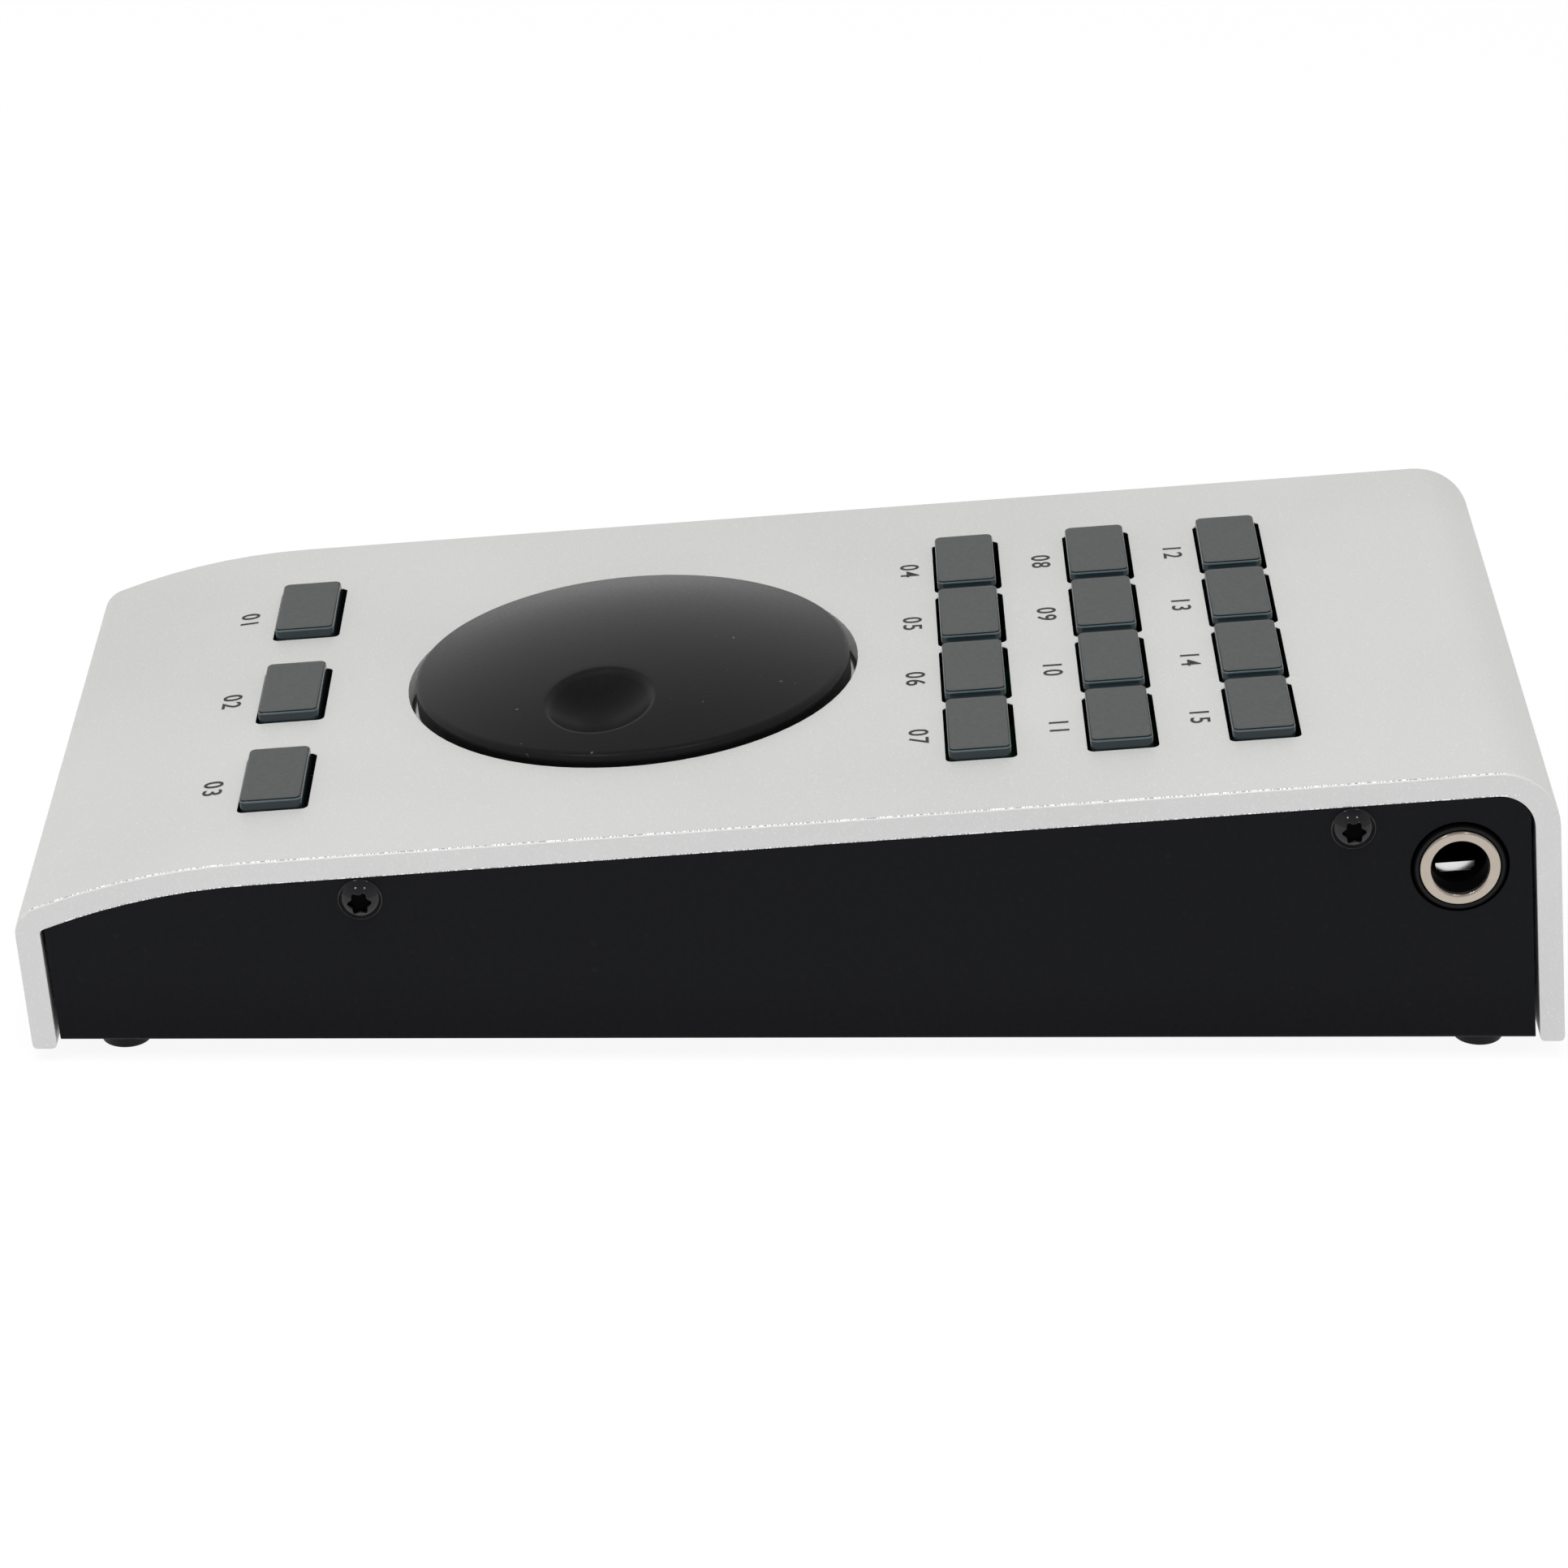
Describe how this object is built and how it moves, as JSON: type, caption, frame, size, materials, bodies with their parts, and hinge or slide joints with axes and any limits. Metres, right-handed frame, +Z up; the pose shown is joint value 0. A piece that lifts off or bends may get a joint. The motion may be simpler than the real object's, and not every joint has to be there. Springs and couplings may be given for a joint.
{
  "type": "studio monitor controller",
  "caption": "Sloping aluminium desk controller with a large domed dial, rectangular push keys, a footswitch jack in its side and a computer socket at the rear.",
  "frame": {"origin": "under the middle of the case, on the table its feet stand on", "axes": "+X to the user's right, +Y to the rear, +Z up; the plate rises 4.42 degrees towards the rear"},
  "size_m": [0.0924, 0.1744, 0.0359],
  "materials": {
    "cover_metal": "fine bead blasted, clear anodised",
    "tray_black": "black powder coat",
    "block_metal": "machined",
    "screw_black": "black oxide",
    "foot_rubber": "matte",
    "board_green": "solder mask",
    "pillar_brass": "machined",
    "screw_steel": "zinc",
    "switch_black": "matte",
    "lamp_clear": "gloss",
    "encoder_black": "matte",
    "bushing_metal": "turned",
    "chip_black": "matte",
    "parts_grey": "mixed",
    "jack_black": "satin",
    "ferrule_nickel": "nickel",
    "contact_metal": "nickel silver",
    "socket_metal": "tin plate",
    "tongue_white": "matte",
    "dial_black": "fine black anodise",
    "well_metal": "bare, turned",
    "hub_black": "matte",
    "shaft_metal": "turned",
    "key_cap": "satin grey",
    "plunger": "matte"
  },
  "bodies": {
    "case": {"top_cover": "cover_metal", "base_tray": "tray_black", "cover_blocks": "block_metal", "side_screws": "screw_black", "rubber_feet": "foot_rubber", "main_board": "board_green", "board_pillars": "pillar_brass", "board_screws": "screw_steel", "key_switches": "switch_black", "key_lamps": "lamp_clear", "encoder_body": "encoder_black", "encoder_bushing": "bushing_metal", "dial_well": "well_metal", "control_chip": "chip_black", "board_parts": "parts_grey", "jack_housing": "jack_black", "jack_ferrule": "ferrule_nickel", "jack_contact": "contact_metal", "socket_shell": "socket_metal", "socket_tongue": "tongue_white"},
    "dial": {"dial": "dial_black", "dial_hub": "hub_black", "dial_hub_screws": "screw_steel", "encoder_shaft": "shaft_metal"},
    "key_01": {"key_cap_01": "key_cap", "plunger_01": "plunger"},
    "key_02": {"key_cap_02": "key_cap", "plunger_02": "plunger"},
    "key_03": {"key_cap_03": "key_cap", "plunger_03": "plunger"},
    "key_04": {"key_cap_04": "key_cap", "plunger_04": "plunger"},
    "key_05": {"key_cap_05": "key_cap", "plunger_05": "plunger"},
    "key_06": {"key_cap_06": "key_cap", "plunger_06": "plunger"},
    "key_07": {"key_cap_07": "key_cap", "plunger_07": "plunger"},
    "key_08": {"key_cap_08": "key_cap", "plunger_08": "plunger"},
    "key_09": {"key_cap_09": "key_cap", "plunger_09": "plunger"},
    "key_10": {"key_cap_10": "key_cap", "plunger_10": "plunger"},
    "key_11": {"key_cap_11": "key_cap", "plunger_11": "plunger"},
    "key_12": {"key_cap_12": "key_cap", "plunger_12": "plunger"},
    "key_13": {"key_cap_13": "key_cap", "plunger_13": "plunger"},
    "key_14": {"key_cap_14": "key_cap", "plunger_14": "plunger"},
    "key_15": {"key_cap_15": "key_cap", "plunger_15": "plunger"}
  },
  "joints": [
    {"name": "dial_turn", "type": "hinge", "parent": "case", "child": "dial", "pos_m": [0, -0.01892, 0.02846], "axis": [0, -0.0771, 0.997], "continuous": true},
    {"name": "press_01", "type": "slide", "parent": "case", "child": "key_01", "axis": [0, 0.0771, -0.997], "range_m": [0, 0.0012], "stiffness_N_per_m": 300, "springref_m": -0.002},
    {"name": "press_02", "type": "slide", "parent": "case", "child": "key_02", "axis": [0, 0.0771, -0.997], "range_m": [0, 0.0012], "stiffness_N_per_m": 300, "springref_m": -0.002},
    {"name": "press_03", "type": "slide", "parent": "case", "child": "key_03", "axis": [0, 0.0771, -0.997], "range_m": [0, 0.0012], "stiffness_N_per_m": 300, "springref_m": -0.002},
    {"name": "press_04", "type": "slide", "parent": "case", "child": "key_04", "axis": [0, 0.0771, -0.997], "range_m": [0, 0.0012], "stiffness_N_per_m": 300, "springref_m": -0.002},
    {"name": "press_05", "type": "slide", "parent": "case", "child": "key_05", "axis": [0, 0.0771, -0.997], "range_m": [0, 0.0012], "stiffness_N_per_m": 300, "springref_m": -0.002},
    {"name": "press_06", "type": "slide", "parent": "case", "child": "key_06", "axis": [0, 0.0771, -0.997], "range_m": [0, 0.0012], "stiffness_N_per_m": 300, "springref_m": -0.002},
    {"name": "press_07", "type": "slide", "parent": "case", "child": "key_07", "axis": [0, 0.0771, -0.997], "range_m": [0, 0.0012], "stiffness_N_per_m": 300, "springref_m": -0.002},
    {"name": "press_08", "type": "slide", "parent": "case", "child": "key_08", "axis": [0, 0.0771, -0.997], "range_m": [0, 0.0012], "stiffness_N_per_m": 300, "springref_m": -0.002},
    {"name": "press_09", "type": "slide", "parent": "case", "child": "key_09", "axis": [0, 0.0771, -0.997], "range_m": [0, 0.0012], "stiffness_N_per_m": 300, "springref_m": -0.002},
    {"name": "press_10", "type": "slide", "parent": "case", "child": "key_10", "axis": [0, 0.0771, -0.997], "range_m": [0, 0.0012], "stiffness_N_per_m": 300, "springref_m": -0.002},
    {"name": "press_11", "type": "slide", "parent": "case", "child": "key_11", "axis": [0, 0.0771, -0.997], "range_m": [0, 0.0012], "stiffness_N_per_m": 300, "springref_m": -0.002},
    {"name": "press_12", "type": "slide", "parent": "case", "child": "key_12", "axis": [0, 0.0771, -0.997], "range_m": [0, 0.0012], "stiffness_N_per_m": 300, "springref_m": -0.002},
    {"name": "press_13", "type": "slide", "parent": "case", "child": "key_13", "axis": [0, 0.0771, -0.997], "range_m": [0, 0.0012], "stiffness_N_per_m": 300, "springref_m": -0.002},
    {"name": "press_14", "type": "slide", "parent": "case", "child": "key_14", "axis": [0, 0.0771, -0.997], "range_m": [0, 0.0012], "stiffness_N_per_m": 300, "springref_m": -0.002},
    {"name": "press_15", "type": "slide", "parent": "case", "child": "key_15", "axis": [0, 0.0771, -0.997], "range_m": [0, 0.0012], "stiffness_N_per_m": 300, "springref_m": -0.002}
  ]
}
